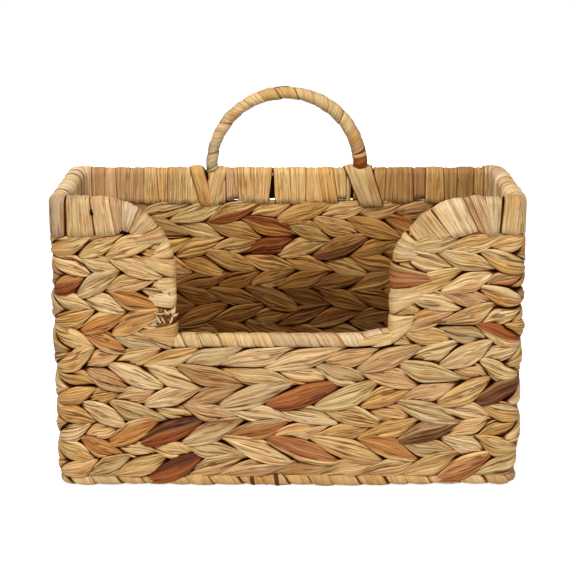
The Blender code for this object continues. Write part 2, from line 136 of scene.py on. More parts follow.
class Surface:
    """Quads gathered from grids of points, with the leaf's colour, grain and shade at each point."""

    def __init__(self):
        self.points, self.quads, self.walls = [], [], []
        self.tints, self.grains, self.shades = [], [], []
        self.count = 0

    def grid(self, points, tint, grain, shade, round_second=False, flip=False, wall=None):
        """points has the shape (first, second, 3); tint, grain and shade may be narrower. wall has
        each point's places along and up the wall and outwards from its line."""
        first, second = points.shape[:2]
        if wall is not None:
            along, up, out = wall
            along = np.broadcast_to(along.reshape(first, -1), up.shape)
            self.walls.append((len(self.shades), along, up, out))
        self.points.append(points.reshape(-1, 3))
        self.tints.append(np.broadcast_to(tint, (first, second, 3)).reshape(-1, 3))
        self.grains.append(np.broadcast_to(grain, (first, second, 3)).reshape(-1, 3))
        self.shades.append(np.broadcast_to(shade, (first, second)).reshape(-1))
        index = np.arange(first * second).reshape(first, second) + self.count
        if round_second:
            index = np.concatenate([index, index[:, :1]], 1)
        corners = [index[:-1, :-1], index[1:, :-1], index[1:, 1:], index[:-1, 1:]]
        if flip:
            corners.reverse()
        self.quads.append(np.stack(corners, -1).reshape(-1, 4))
        self.count += first * second

    def build(self, name, material):
        points, quads, tints = [np.concatenate(part) for part in (self.points, self.quads, self.tints)]
        mesh = bpy.data.meshes.new(name)
        mesh.vertices.add(len(points))
        mesh.vertices.foreach_set("co", points.astype(np.float32).ravel())
        mesh.loops.add(quads.size)
        mesh.loops.foreach_set("vertex_index", quads.astype(np.int32).ravel())
        mesh.polygons.add(len(quads))
        mesh.polygons.foreach_set("loop_start", np.arange(0, quads.size, 4, dtype=np.int32))
        mesh.polygons.foreach_set("use_smooth", np.ones(len(quads), bool))
        mesh.update(calc_edges=True)
        colours = np.concatenate([tints, np.ones((len(tints), 1))], 1)
        layer = mesh.color_attributes.new("leaf_tint", "FLOAT_COLOR", "POINT")
        layer.data.foreach_set("color", colours.astype(np.float32).ravel())
        layer = mesh.attributes.new("leaf_grain", "FLOAT_VECTOR", "POINT")
        layer.data.foreach_set("vector", np.concatenate(self.grains).astype(np.float32).ravel())
        layer = mesh.attributes.new("leaf_shade", "FLOAT", "POINT")
        layer.data.foreach_set("value", np.concatenate(self.shades).astype(np.float32))
        mesh.materials.append(material)
        return add_object(name, mesh)


def hand_in(surface, name, material, slot, *nodes):
    """Builds a piece, which takes the place of the given solids."""
    item = surface.build(name, material)
    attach(item, "root")
    if nodes:
        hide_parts(*nodes)


def hand_in_strips(surface, node):
    hand_in(surface, f"{node}_strips", wrap, "wrap_leaf", node)


# Wall line

def wall_line(along):
    """Points (x, y) and outward normals of the wall line, a rectangle with round corners."""
    lengths = [straight_x, *[corner_length, 2 * straight_y, corner_length, 2 * straight_x] * 2]
    ends = np.cumsum([0, *lengths[:-1], straight_x])
    along = np.mod(along, perimeter)
    angle = np.radians(np.interp(along, ends, [-90, -90, 0, 0, 90, 90, 180, 180, 270, 270]))
    normal = np.stack([np.cos(angle), np.sin(angle)], -1)
    x = np.interp(along, ends, np.array([0, 1, 1, 1, 1, -1, -1, -1, -1, 0]) * straight_x)
    y = np.interp(along, ends, np.array([-1, -1, -1, 1, 1, 1, 1, -1, -1, -1]) * straight_y)
    return np.stack([x, y], -1) + line_radius * normal, normal


def upright_places():
    """Where the lobes of a row are widest along the wall line: 12 across, 4 deep."""
    front = np.array([12.9, 50, 83.9, 115.3, 148.4, 173.4]) * mm
    front_left = np.array([-173, -151.6, -125.8, -94.4, -63.7, -27.4]) * mm
    sides = (np.arange(4) - 1.5) * 32.9 * mm
    back_row = (np.arange(12) - 5.5) * 30.9 * mm
    right = straight_x + corner_length + straight_y
    back = right + straight_y + corner_length + straight_x
    left = back + straight_x + corner_length + straight_y
    front_left = front_left + perimeter
    return np.concatenate([front, sides + right, back_row + back, sides + left, front_left])


uprights = upright_places()
knot_count = len(uprights)


def edge_distance(side, level):
    """How far the edge of the front cut-out is from the middle plane, at a level."""
    reach, radius = cut_sizes[side]
    rise = np.clip(level - (rim_top - radius), 0, radius * 0.999)
    return reach + radius - np.sqrt(radius ** 2 - rise ** 2)


def lean_of_rows(along, level):
    """The rows rise a little towards the right end, which shares the error with the rim and base."""
    reach = np.mod(along + perimeter / 2, perimeter) - perimeter / 2
    starting, ending = (smooth_step((reach - start * mm) / (110 * mm)) for start in (40, 200))
    most = np.interp(level / mm, [9, 40, 72, 110, 150, 215], [0.5, 3, 3, 4.5, 3.5, 0]) * mm
    return level + starting * (1 - ending) * most


def wall_point(along, level, out):
    """Points in space from places along and up the wall and outwards from its line."""
    along, level, out = np.broadcast_arrays(along, level, out)
    spot, normal = wall_line(along)
    flat = spot + normal * out[..., None]
    return np.concatenate([flat, lean_of_rows(along, level)[..., None]], -1)


# Twined rows

steps = np.array([0.0, 0.06, 0.14, 0.23, 0.32, 0.41, 0.5, 0.59, 0.68, 0.77, 0.86, 0.94])
face_points = 25
fold_count, facet_count = 5, 8
one_colour = 2.0   # a split that lies past a lobe's width


def s_curve(share, bend):
    """From 0 to 1, steeper in the middle, and lower than its mirror image so that lobes overlap."""
    share = np.clip(share, 0, 1)
    return (share ** bend / (share ** bend + (1 - share) ** bend)) ** 1.25


def spill(state):
    """How much of a lobe's overlap over the next row shows on its foot side."""
    return np.sin(np.pi * np.clip((state + 0.35) / 1.6, 0, 1))


def lobe_face(state, shape, share):
    """A lobe's face as a strand comes up at the row's foot (state 0), covers the whole row (1) and
    leaves at its top (2): offsets up, in half heights, depth, shade in folds, height of facets."""
    swing, give_way = 1.92, 0.63
    state = state[:, None]
    rise, fall = np.clip(state, 0, 1), np.clip(state - 1, 0, 1)
    low_spill, high_spill = spill(state), spill(2 - state)
    low = -1 + swing * s_curve(fall, shape["low_bend"]) - shape["low_over"] * low_spill
    low = low + give_way * shape["high_over"] * fall ** 3
    high = 1 - swing * s_curve(1 - rise, shape["high_bend"]) + shape["high_over"] * high_spill
    high = high - give_way * shape["low_over"] * (1 - rise) ** 3
    up = low + (high - low) * share
    across = 2 * share - 1
    edge = np.clip((np.abs(across) - 0.74) / 0.26, 0, 1)
    depth = 4.4 * mm * np.abs(state - 1) ** 2.3
    depth = depth + shape["crown"] * across ** 2 + 1.7 * mm * (1 - np.sqrt(1 - 0.96 * edge ** 2))
    for key, part in (("low", low_spill * (1 - share) ** 1.5), ("high", high_spill * share ** 1.5),
                      ("end", 1.6 * fall * (1 - share)), ("start", 1.6 * (1 - rise) * share)):
        depth = depth - shape[f"{key}_raise"] * part
    swell = np.sin(np.pi * np.clip(state / 2, 0, 1)) ** 0.6
    facets = shape["facets"][:, 0]
    place = share * (facet_count - 1) + shape["facet_drift"] * (state - 1)
    place = np.clip(place, 0, facet_count - 1.001)
    lower = np.floor(place).astype(int)
    part = place - lower
    facet = np.take_along_axis(facets, lower, 1) * (1 - part)
    facet = facet + np.take_along_axis(facets, lower + 1, 1) * part
    depth = depth - facet * swell
    crease = 0
    folds = [shape[f"fold_{key}"] for key in ("at", "drift", "width", "depth", "dark", "peak")]
    for fold in range(fold_count):
        at, drift, width, deep, dark, peak = [values[:, :, fold] for values in folds]
        wave = np.exp(-((share - (at + drift * (state - 1))) / width) ** 2)
        depth = depth + deep * swell * wave
        # Painted shade in the fold's valley, fading along the lobe.
        fade = np.exp(-((state - peak) / 0.45) ** 2)
        crease = np.maximum(crease, dark * wave ** 1.5 * fade)
    return up, depth - shape["lift"] * swell, crease, facet


def add_strands(surface, phase, along, place, level, slant, lobes, half_height, half_depth=half_wall,
                wall=True):
    """Both strands of a row. phase is the lobe count at each sample, place(out, up) puts section
    offsets in space, and lobes holds the colours and shapes of each lobe by its number."""
    inmost, waist = 7.2 * mm, 0.45
    total = lobes["seed"].shape[1]
    share = np.linspace(1, 0, face_points)
    for offset in (0, 1):
        front_lobe = 2 * np.floor((phase + offset) / 2) + 1 - offset
        back_lobe = 2 * np.floor((phase + offset + 1) / 2) - offset
        faces = []
        for bank, number in enumerate((front_lobe, back_lobe)):
            state = np.mod(phase + offset + bank, 2)
            number = np.mod(number, total).astype(int)
            shape = {key: values[bank, number][:, None] for key, values in lobes.items()}
            up, depth, crease, facet = lobe_face(state, shape, share)
            sign = -1 if bank else 1
            out = np.maximum(half_depth - depth, 0.15 * half_depth)
            out = sign * (np.minimum(out, inmost) if bank else out)
            up = level + slant * sign * up * half_height
            own = (number * 0.37 + bank * 0.11 + offset * 0.05)[:, None] + shape["seed"]
            grain = grain_at((state[:, None] - 1) * 31 * mm, share * 16 * mm, own)
            blend = smooth_step((share - shape["split"] + 0.10 * (state[:, None] - 1)) / 0.14)
            tint = shape["tint"] * (1 - blend[..., None]) + shape["second"] * blend[..., None]
            # Painted light and shade by the facets' height: ridges paler and lighter, hollows darker
            # and warmer.
            ridge = (facet / (0.5 * mm))[..., None]
            pale = 0.2 * np.clip(ridge, 0, 1)
            tint = tint * (1 - pale) + np.array(palette["straw"]) * pale
            tint = tint * (1 + ridge * np.array((0.08, 0.11, 0.16)))
            # Painted shade: darker towards the lobe's tips, where they dive under their neighbours, and
            # a thin dark outline round its edges, as their shadow.
            tips = 0.18 * near_edge(state - 1, 0.7)[:, None]
            rims = 0.9 * near_edge(2 * share - 1, 0.91)
            faces.append((out, up, tint, grain, np.maximum(np.maximum(tips, rims), crease)))
        sections = []
        for front, back in zip(*faces):
            pull = 1 if sections else waist
            links = [np.stack([here[:, -1], there[:, 0]], 1) * pull
                     for here, there in ((front, back), (back, front))]
            sections.append(np.concatenate([front, links[0], back, links[1]], 1))
        out, up, tint, grain, shade = sections
        surface.grid(place(out, up), tint, grain, shade, round_second=True, flip=slant > 0,
                     wall=(along, up, out) if wall else None)


def make_lobes(rng, total, seed, mix_out, mix_in, slant=1, below=None, above=None):
    """Random lobes. below and above say by how much each overlaps the next rows, -1 to 1."""
    below = np.full((2, total), -1.0) if below is None else below
    above = np.full((2, total), -1.0) if above is None else above

    def spread(low, high, *more):
        return rng.uniform(low, high, (2, total, *more))

    def over(claim):
        return 0.20 + np.where(claim > 0, 0.48, 0.12) * claim

    def raised(claim):
        return np.where(claim > 0, 0.8 + 1.4 * claim, 0.9 * claim) * mm

    low, high = np.stack([below[0], above[1]]), np.stack([above[0], below[1]])
    if slant < 0:
        low, high = high, low
    seam = spread(-1.1, 1.1) * mm
    return {
        "seed": np.full((2, total), seed),
        "tint": np.stack([pick_tints(rng, total, mix) for mix in (mix_out, mix_in)]),
        "second": np.stack([pick_tints(rng, total, mix) for mix in (mix_out, mix_in)]),
        "split": np.where(spread(0, 1) < 0.3, spread(0.25, 0.75), one_colour),
        "low_bend": spread(1.1, 1.8),
        "high_bend": spread(1.1, 1.8),
        "low_over": over(low),
        "high_over": over(high),
        "low_raise": raised(low),
        "high_raise": raised(high),
        "end_raise": seam,
        "start_raise": -np.roll(seam, 1, axis=1),
        "crown": spread(0.3, 1.3) * mm,
        "lift": spread(-0.5, 1.1) * mm,
        "fold_at": spread(0.08, 0.92, fold_count),
        "fold_drift": spread(-0.10, 0.10, fold_count),
        "fold_width": spread(0.03, 0.055, fold_count),
        "fold_depth": spread(0.1, 0.75, fold_count) * mm,
        # Strength of the painted shade in the folds' valleys
        "fold_dark": np.clip(spread(-1.2, 0.85, fold_count), 0, 1),
        "fold_peak": spread(0.3, 1.7, fold_count),
        "facets": spread(-0.55, 0.45, facet_count) * mm,
        "facet_drift": spread(-0.6, 0.6),
    }


def cut_row(phase, along, start, stop):
    """Ends a row's samples at the two given places along it."""
    keep = (along > start) & (along < stop)
    ends = np.interp([start, stop], along, phase)
    phase = np.concatenate([ends[:1], phase[keep], ends[1:]])
    return phase, np.concatenate([[start], along[keep], [stop]])


# Leaves that stand out by their colour, by row: the upright that they cover, and one colour or two.
# 0 to 5 run from the middle of the front to the right, 31 down to 26 to the left, 10 to 21 across
# the back.
outer_accents = {
    1: "27 sage 28 straw 29 rust/maroon 31 pink 2 pink 3 straw 4 salmon 5 sage",
    2: "27 orange 30 sage 0 salmon 1 straw 2 orange 3 sage",
    3: "28 orange 29 rust/maroon 31 salmon 0 cream 1 gold 2 gold 3 brown/taupe",
    4: "27 cream 28 grey 30 pink 31 cream 1 straw 3 grey 4 cream",
    5: "29 cream 0 rust/amber 1 sage 2 gold 3 pink 4 straw 5 maroon/brown",
    6: "26 gold 28 cream 30 tan 31 sage 1 grey 2 pink 3 sage",
    7: "30 grey 31 cream 0 cream 2 pink 4 cream",
    8: "27 orange 28 grey 3 straw 4 ash 5 rust/straw",
    9: "27 orange 29 grey 3 pink 4 straw 5 cream",
    10: "27 cream 28 orange 3 cream 4 pink",
    11: "26 rust/orange 27 grey 28 pink/straw 4 cream 5 salmon/taupe",
    12: "27 sage 28 pink 3 cream 4 sage",
    13: "28 straw 3 sage 4 straw",
}
inner_accents = {
    9: "15 straw 14 tan",
    10: "15 straw 16 cream",
    11: "16 rust 14 tan/brown 15 cream",
    12: "16 orange/rust 14 straw 13 gold 11 taupe",
    13: "17 straw/rust 15 gold",
}
# Row and upright of the leaves that lie over all their neighbours
bold = [(5, 0), (3, 29), (1, 29), (5, 5), (2, 0), (1, 4)]
corner_knots = [5, 6, 9, 10, 21, 22, 25, 26]


def inner_shade_tone(number):
    """Painted shade on the leaf's inner side: duller, and darker and warmer towards the bottom, where
    less light reaches into the basket.
    """
    return np.array([np.interp(number, [1, 8, 9, 10, 11, 13], values) for values in (
        (0.35, 0.35, 0.51, 0.76, 0.86, 0.90), (0.22, 0.22, 0.36, 0.61, 0.75, 0.84),
        (0.075, 0.075, 0.16, 0.36, 0.53, 0.72))])


def row_surface(number, claims):
    rng = default_rng(100 + number)
    knots = uprights + rng.uniform(-3.2, 3.2, knot_count) * mm
    knots = np.append(knots, knots[0] + perimeter)
    phase = (np.arange(knot_count)[:, None] + steps).ravel()
    along = np.interp(phase, np.arange(knot_count + 1), knots)
    level = weave_bottom + (number - 0.5) * row_height
    slant = 1 if number % 2 else -1
    below, above = claims[number - 1][0], claims[number][1]
    lobes = make_lobes(rng, knot_count, number * 7.3, plain_mix, deep_mix, slant, below, above)
    # Painted shade on the inner faces, darker towards the bottom.
    for key in ("tint", "second"):
        lobes[key][1] *= inner_shade_tone(number)
    lobes["lift"][0, corner_knots] += rng.uniform(0.9, 2.6, 8) * mm
    lobes["crown"][0, corner_knots] = rng.uniform(1.8, 3.2, 8) * mm
    # The inner accents get the same painted shade.
    inner = 1.05 * inner_shade_tone(number)
    for bank, accents, tone in ((0, outer_accents, 1.0), (1, inner_accents, inner)):
        words = accents.get(number, "").split()
        for knot, name in zip(map(int, words[::2]), words[1::2]):
            first, _, second = name.partition("/")
            lobes["tint"][bank, knot] = np.array(palette[first]) * tone
            lobes["split"][bank, knot] = 0.72 if name in ("salmon", "orange", "pink") else one_colour
            if second:
                lobes["second"][bank, knot] = np.array(palette[second]) * tone
                lobes["split"][bank, knot] = 0.5
            lobes["lift"][bank, knot] = 0.9 * mm
            lobes["start_raise"][bank, knot] = lobes["end_raise"][bank, knot] = 0.8 * mm
            lobes["end_raise"][bank, knot - 1] = -0.8 * mm
            lobes["start_raise"][bank, (knot + 1) % knot_count] = -0.8 * mm
    if number > full_rows:
        start, stop = [edge_distance(side, level + row_height / 2) + 3 * mm for side in (1, -1)]
        phase, along = cut_row(phase, along, start, perimeter - stop)
    else:
        phase, along = np.append(phase, knot_count), np.append(along, knots[-1])
    surface = Surface()

    def place(out, up):
        return wall_point(along[:, None], up, out)

    add_strands(surface, phase, along, place, level, slant, lobes, row_height / 2)
    return surface


def overlap_claims():
    """For each level between rows, by how much the row above overlaps the one below at each lobe,
    and the row below the one above. At some lobes both draw back and leave a dark gap."""
    rng = default_rng(7)
    shape = (row_count + 1, 2, knot_count)
    claims = rng.uniform(0.25, 1.0, shape) * rng.choice([-1, 1], shape)
    claims[0], claims[row_count] = -1, 0
    front = (uprights < 100 * mm) | (uprights > perimeter - 100 * mm)
    claims[full_rows][:, front] = 0
    gap = rng.uniform(0, 1, shape) < 0.06
    for row, knot in bold:
        near = [(knot - 1) % knot_count, knot, (knot + 1) % knot_count]
        for level, claim, knots in ((row, -1, near), (row - 1, 1, near if row > 1 else knot)):
            claims[level][0, knots] = claim
            gap[level][0, knots] = False
    upper, lower = claims.copy(), -claims
    upper[gap] = lower[gap] = -1.6
    return list(zip(upper, lower))


def box_blur(values, reach):
    for axis in (0, 1, 0, 1):
        values = sum(np.roll(values, step, axis) for step in range(-reach, reach + 1)) / (2 * reach + 1)
    return values


def shade_wall(surfaces, cell=0.9 * mm):
    """Paints shade into what lies deeper than its surroundings, on the outer and inner faces of the
    walls.
    """
    columns, levels, slack = int(perimeter / cell) + 1, int(rim_top / cell) + 2, 0.4 * mm

    def cell_of(along, up):
        column = (np.mod(along, perimeter) / cell).astype(int) % columns
        return column, np.clip((up / cell).astype(int), 0, levels - 1)

    for side in (1, -1):
        relief = np.full((columns, levels), -1.0)
        for surface in surfaces:
            for index, *lines in surface.walls:
                for shift in (0, 0.33, 0.67):
                    along, up, out = [line[:-1] * (1 - shift) + line[1:] * shift for line in lines]
                    height = out * side
                    use = (height > 0) & (np.abs(lines[1][1:] - lines[1][:-1]) < 6 * mm)
                    np.maximum.at(relief, cell_of(along[use], up[use]), height[use])
        for _ in range(4):
            empty = relief < 0
            around = [np.roll(relief, step, axis)[empty] for axis in (0, 1) for step in (1, -1)]
            relief[empty] = np.max(around, 0)
        near, wide = box_blur(relief, 2), box_blur(relief, 5)
        for surface in surfaces:
            for index, along, up, out in surface.walls:
                here, height = cell_of(along, up), out * side
                close = (near[here] - height - slack) / (0.8 * mm)
                broad = (wide[here] - height - slack) / (2.0 * mm)
                lack = np.where(height > 0, np.clip(np.maximum(close, broad), 0, 1), 0)
                surface.shades[index] = np.maximum(surface.shades[index], lack.ravel())


# Strips over the rim

strip_u = np.linspace(-1, 1, 23)


def rim_spot(side, reach_out):
    """A place on the front rim (along, level) from its distance from the middle plane."""
    reach, radius = cut_sizes[side]
    cosine = np.clip((reach + radius - reach_out) / radius, 0, 1)
    level = rim_top - radius + radius * np.sqrt(1 - cosine ** 2)
    return np.stack([side * reach_out, level], -1)


def relief_across(rng, crown, folds, run, drop):
    """Heights over a strip, crowned, edges turned down, with lengthwise folds that drift, and the
    shade in the folds. run is the share of the strip's length."""
    u = strip_u[:, None]
    height = crown * (1 - u ** 2) - drop * near_edge(u, 0.8) + 0 * run
    crease = 0 * height
    for _ in range(folds):
        middle = rng.uniform(-0.85, 0.85) + rng.uniform(-0.12, 0.12) * (run * 2 - 1)
        wave = np.exp(-((u - middle) / rng.uniform(0.06, 0.13)) ** 2)
        depth = rng.uniform(-0.35, 0.6)
        height = height - depth * mm * wave
        fade = np.exp(-((run - rng.uniform(0, 1)) / 0.22) ** 2)
        crease = np.maximum(crease, (0.85 * depth - 0.1) * wave ** 1.5 * fade)
    return height, crease


def drape(surface, rng, edge, outer_foot, inner_foot, tint, lift=0.0, crown=0.9 * mm,
          rounding=5.5 * mm, folds=4, drop=0.8 * mm, tuck=0.0, shade=0.0, seam=0.9):
    """A flat strip laid over a rim. edge, outer_foot and inner_foot say where its two long edges, or
    all its places across, run on the rim and end outside and inside, as (along, level)."""
    share = (strip_u[:, None] + 1) / 2
    edge, outer_foot, inner_foot = [
        pair[0] * (1 - share) + pair[1] * share if len(pair) == 2 else pair
        for pair in (edge, outer_foot, inner_foot)]
    path = []
    for foot, side, arcs in ((outer_foot, 1, 6), (inner_foot, -1, 5)):
        way = foot - edge
        length = np.maximum(np.linalg.norm(way, axis=1), 1 * mm)[:, None]
        way = way / length
        bend = np.minimum(rounding, 0.8 * length)
        # From the foot to the top: place, distance from the wall line, and the strip's normal
        half = [(edge + way * (length + 0.5 * mm), half_wall * 0.25, way, 0),
                (edge + way * (length + 0.6 * mm), half_wall * 0.7, way * 0.8, 0.6)]
        for part in (1.0, 0.8, 0.6, 0.4, 0.2):
            spot = edge + way * (bend + (length - bend) * part)
            half.append((spot, half_wall - tuck * part ** 2, way * 0, 1))
        for angle in np.radians(np.arange(arcs) * 18):
            sine, cosine = math.sin(angle), math.cos(angle)
            half.append((edge + way * bend * (1 - sine), half_wall * cosine, -way * sine, cosine))
        path += [(place, side * out, push, side * away) for place, out, push, away in half[::side]]
    place, out, push, away = [np.array(part) for part in zip(*path)]
    place, push = place.swapaxes(0, 1), push.swapaxes(0, 1)
    pieces = np.hypot(np.linalg.norm(np.diff(place[7], axis=0), axis=1), np.diff(out))
    run = np.concatenate([[0], np.cumsum(pieces)])
    width = np.linalg.norm(place[0] - place[-1], axis=1)
    height, crease = relief_across(rng, crown, folds, run / run[-1], drop)
    height = lift + height * np.clip(width / (9 * mm), 0.25, 1)
    place = place + push * height[..., None]
    grain = grain_at(run, strip_u[:, None] * width.max() / 2, rng.uniform(0, 50))
    # Painted shade along the strip's edges, where it meets its neighbours, and in its folds, with shade
    # over the whole strip.
    sides = np.maximum(seam * near_edge(strip_u, 0.84)[:, None], crease)
    surface.grid(wall_point(place[..., 0], place[..., 1], out + away * height),
                 np.reshape(tint, (-1, 1, 3)), grain, np.maximum(sides, shade))


def rim_core(surface, start, stop, count, sunk=0.0):
    """Packing under a level rim's strips, behind the wire seen under their inner feet; painted near
    black with shade, as the shadow in the gaps.
    """
    out, up = np.array([(-1.4, -3), (-1.4, 6), (-5.0, 9), (-5.0, 25.5), (-3.0, 27.5), (3.2, 27.5),
                        (5.2, 25.5), (5.2, 1), (3, -3)]).T * mm
    out = np.maximum(out, -5.0 * mm + sunk)
    along = np.linspace(start, stop, count)[:, None]
    surface.grid(wall_point(along, weave_top + up, out), palette["brown"], 0.0, 0.85, round_second=True)


def scrap(surface, rng, first, last, width, tint, out, shade=0.0):
    """A small pointed piece of leaf flat on the wall, between two places (along, level), in mm."""
    first, last = np.array(first) * mm, np.array(last) * mm
    length = np.linalg.norm(last - first)
    way = (last - first) / length
    run = np.linspace(0, 1, 11)
    u = np.linspace(-1, 1, 9)[:, None]
    across = u * width / 2 * mm * np.sqrt(np.clip(1 - np.abs(2 * run - 1) ** 2.4, 0.01, 1))
    along = first[0] + (last - first)[0] * run - way[1] * across
    level = first[1] + (last - first)[1] * run + way[0] * across
    height = (out - 0.8 * u ** 2 - 3.5 * np.abs(2 * run - 1) ** 3 - 0.5 * near_edge(u, 0.7)) * mm
    height = height + rng.uniform(-0.15, 0.15, (9, 1)) * mm
    grain = grain_at(run * length, across, rng.uniform(0, 50))
    # Painted shade round the piece's edges, and over all of it by shade.
    edges = np.maximum(0.7 * near_edge(u, 0.8), shade)
    surface.grid(wall_point(along, level, half_wall + height), tint, grain, edges)


def straight_strips(surface, rng, places, names, tilt=2.0 * mm, raised=(), leans=None, bulge=0.0,
                    tone=1.0):
    """Strips side by side over a level rim, between the given places along it. raised holds the
    numbers of strips whose inner foot ends higher and shows the wire; leans says by how many mm the
    seam at a place leans along the rim towards its inner foot."""
    step = 0.25 * mm
    shifts_out, shifts_in = rng.uniform(-tilt, tilt, (2, len(places)))
    shifts_out[[0, -1]] = shifts_in[[0, -1]] = 0
    for number, shift in (leans or {}).items():
        shifts_in[number] = shift * mm
    for number in range(len(places) - 1):
        seams = slice(number, number + 2)
        ends = places[seams] + rng.uniform(0.8, 1.8, 2) * mm * (-1, 1)
        edge = at_level(ends, rim_top)
        outer = at_level(ends + shifts_out[seams], weave_top + rng.uniform(-1.2, 0.4, 2) * mm)
        reach = rng.uniform(1.5, 6.0, 2) if number in raised else rng.uniform(-2.2, 0.2, 2)
        inner = at_level(ends + shifts_in[seams], weave_top + reach * mm)
        tint = tinted(rng, names[number]) * tone
        lift = (step if number % 2 else -step) + rng.uniform(-0.15, 0.15) * mm - 0.5 * mm + bulge
        drape(surface, rng, edge, outer, inner, tint, crown=0.45 * mm, drop=0.3 * mm, folds=8,
              seam=0.85, lift=lift)


def random_places(rng, start, stop, low=9 * mm, high=13 * mm):
    count = int(round((stop - start) / ((low + high) / 2)))
    widths = rng.uniform(low, high, count)
    return start + np.concatenate([[0], np.cumsum(widths)]) * (stop - start) / widths.sum()


def at_level(along, level):
    return np.stack(np.broadcast_arrays(along, level), -1)


def back_along(x):
    return perimeter / 2 - np.asarray(x, float)


# Wound strips

def wind(surface, rng, place, turns, half, crown=0.5 * mm, power=2.6, start_angle=-90, wave=0.3 * mm,
         seam=0.6):
    """Flat strips wound round a core, one per turn. turns holds (start, width, colour), half is the
    core's half size outwards and upwards, and place(run, out, up) puts offsets in space."""
    u = np.linspace(-1, 1, 9)[:, None]
    turn = np.linspace(0, 1, 29)
    angles = np.radians(start_angle + 360 * turn)
    cosine, sine = np.cos(angles), -np.sin(angles)
    round_out, round_up = [np.sign(part) * np.abs(part) ** (2 / power) for part in (cosine, sine)]
    for start, width, tint in turns:
        run = start + width * turn + u * width * 0.56
        height = crown * (1 - u ** 2) + (0.3 * u - 0.7 * near_edge(u, 0.75)) * mm
        height = height + rng.uniform(-wave, wave)
        for _ in range(3):
            middle = rng.uniform(-0.8, 0.8) + rng.uniform(-0.15, 0.15) * (turn * 2 - 1)
            depth = rng.uniform(-0.15, 0.35) * mm
            height = height - depth * np.exp(-((u - middle) / rng.uniform(0.08, 0.16)) ** 2)
        half_out, half_up = half(run) if callable(half) else half
        out = half_out * round_out + cosine * height
        up = half_up * round_up + sine * height
        grain = grain_at(turn * 36 * mm, u * width / 2, rng.uniform(0, 50))
        # Painted shade along each turn's edges, in the seams between turns.
        surface.grid(place(run, out, up), tint, grain, seam * near_edge(u, 0.85))


def wound_turns(rng, start, stop, low, high, mix, tone, drift=0.35):
    """Turns from low to high mm wide, with the colours of one strip holding for a few of them."""
    turns, name = [], pick_names(rng, 1, mix)[0]
    while start < stop:
        width = rng.uniform(low, high) * mm
        if rng.uniform() < drift:
            name = pick_names(rng, 1, mix)[0]
        turns.append((start, width, tinted(rng, name) * tone))
        start += width
    return turns


def last_turns(rng, end, *turns):
    """Turns by how far before the end they start, their width, both in mm, and their colour."""
    return [(end - before * mm, width * mm, tinted(rng, name)) for before, width, name in turns]


# Materials

class Nodes:
    def __init__(self, name):
        self.material = bpy.data.materials.new(name)
        self.material.use_nodes = True
        self.tree = self.material.node_tree
        self.shader = self.tree.nodes["Principled BSDF"]

    def add(self, kind, **settings):
        node = self.tree.nodes.new(f"ShaderNode{kind}")
        for key, value in settings.items():
            setattr(node, key, value)
        return node

    def fill(self, node, inputs):
        """Sets a node's inputs to numbers or colours, or links other nodes' outputs to them."""
        for key, value in inputs.items():
            if isinstance(value, (int, float)):
                node.inputs[key].default_value = value
            elif isinstance(value, tuple):
                node.inputs[key].default_value = (*value, 1)
            else:
                self.tree.links.new(value, node.inputs[key])
        return node

    def math(self, operation, first, second=0.5, clamp=False):
        node = self.add("Math", operation=operation, use_clamp=clamp)
        return self.fill(node, {0: first, 1: second}).outputs[0]

    def times(self, first, second):
        return self.math("MULTIPLY", first, second)

    def mix(self, factor, first, second, blend="MIX"):
        node = self.add("Mix", data_type="RGBA", blend_type=blend, clamp_result=False)
        return self.fill(node, {0: factor, 6: first, 7: second}).outputs[2]

    def stain_and_shade(self, amount, colour, factors):
        """Multiplies a colour where the amount is 1: for stains and marks, and for painted shade."""
        return self.mix(amount, colour, self.mix(1.0, colour, factors, "MULTIPLY"))

    def noise(self, vector, stretch, detail, roughness=0.55):
        place = self.fill(self.add("VectorMath", operation="MULTIPLY"), {0: vector})
        place.inputs[1].default_value = stretch
        node = self.add("TexNoise", noise_dimensions="3D")
        inputs = {"Vector": place.outputs[0], "Scale": 1.0, "Detail": detail, "Roughness": roughness}
        return self.fill(node, inputs).outputs["Fac"]

    def ramp(self, value, low, high, most=1.0):
        node = self.add("MapRange", interpolation_type="SMOOTHSTEP")
        inputs = {"Value": value, "From Min": low, "From Max": high, "To Max": most}
        return self.fill(node, inputs).outputs["Result"]


